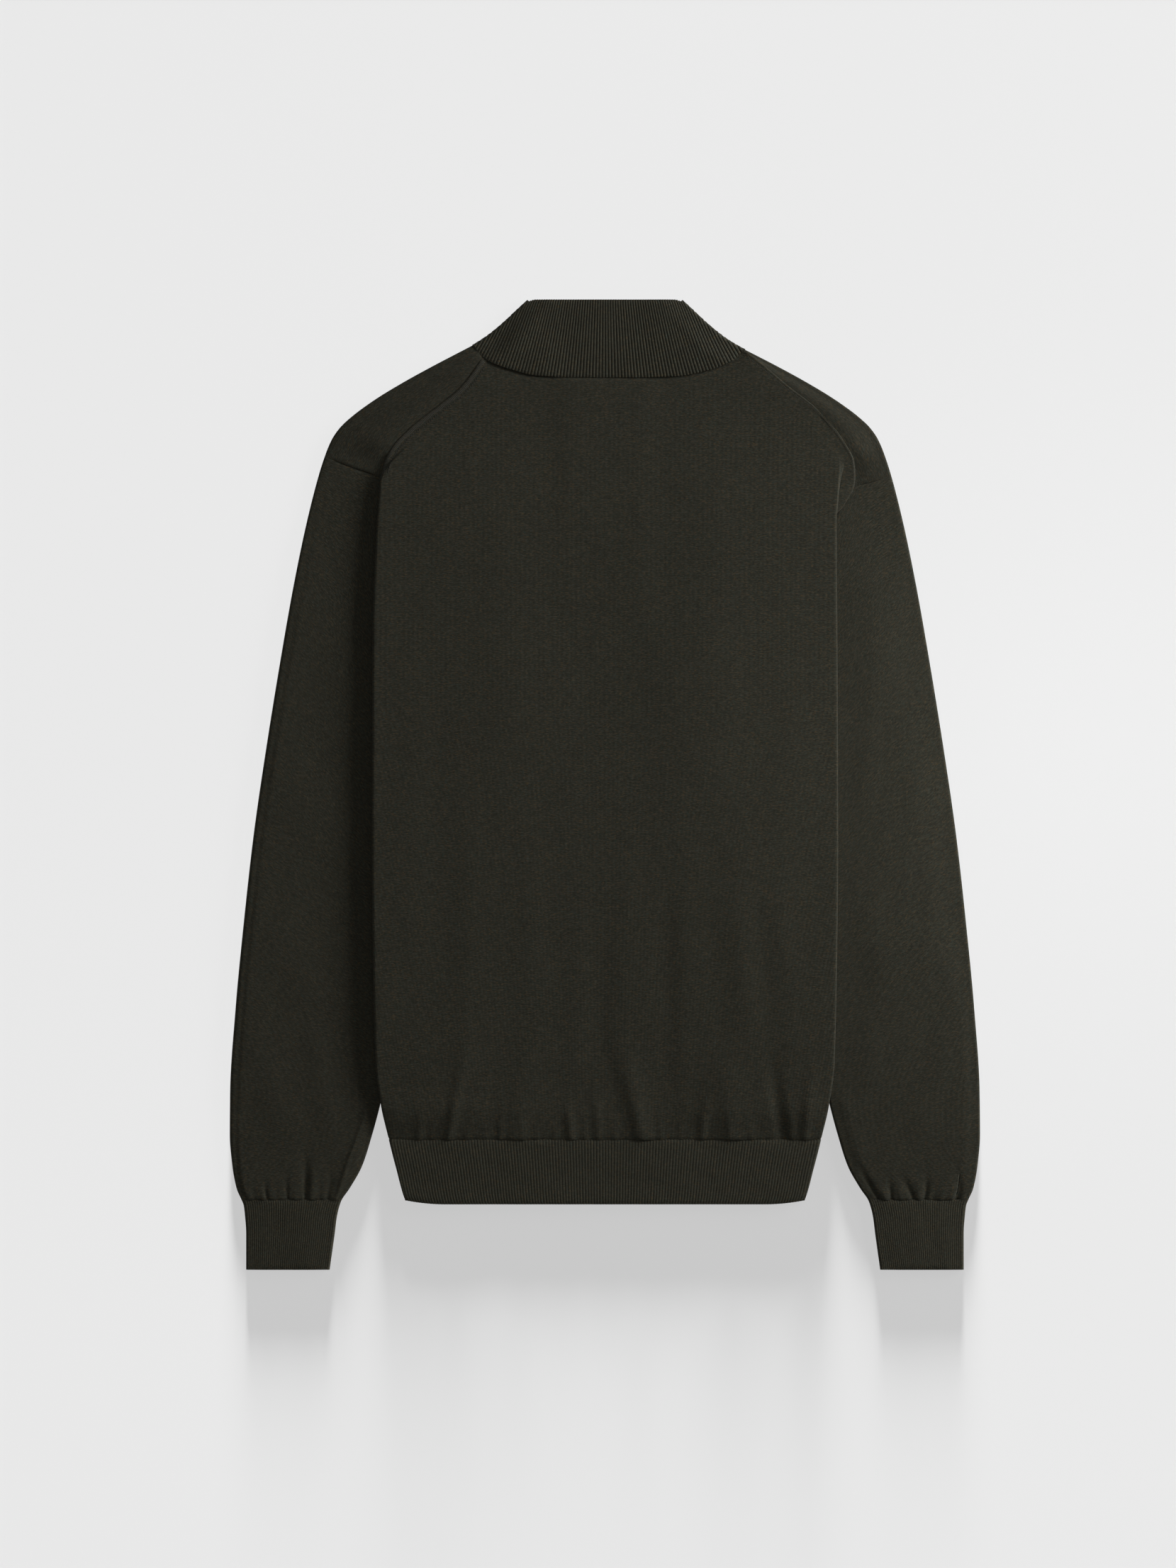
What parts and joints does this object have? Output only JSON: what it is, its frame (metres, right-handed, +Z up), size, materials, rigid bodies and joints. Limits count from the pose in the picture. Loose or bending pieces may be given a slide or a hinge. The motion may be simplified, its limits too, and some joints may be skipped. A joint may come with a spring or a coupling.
{
  "type": "button-neck sweater",
  "caption": "Fine-knit long-sleeved sweater with a ribbed stand collar and a buttoned neck placket, laid flat with its back up.",
  "frame": {"origin": "centre of the garment's outline, on the surface it lies on", "axes": "+Y from the hem to the collar; +Z up, out of the garment's back; -X to the left of someone who looks down on the back"},
  "size_m": [0.6028, 0.7794, 0.0101],
  "materials": {
    "jersey": "matt fine-gauge plain knit, very dark olive brown melange",
    "rib": "matt fine-gauge 1x1 rib knit, very dark olive brown melange",
    "button": "satin, dark brown"
  },
  "bodies": {
    "root": {"back_panel": "jersey", "front_panel": "jersey", "hem_rib_back": "rib", "hem_rib_front": "rib", "collar": "rib", "sleeve_left": "jersey", "sleeve_right": "jersey", "cuff_left": "rib", "cuff_right": "rib", "placket_over": "rib", "placket_under": "rib", "button_1": "button", "button_2": "button", "button_3": "button", "button_4": "button"}
  },
  "joints": []
}
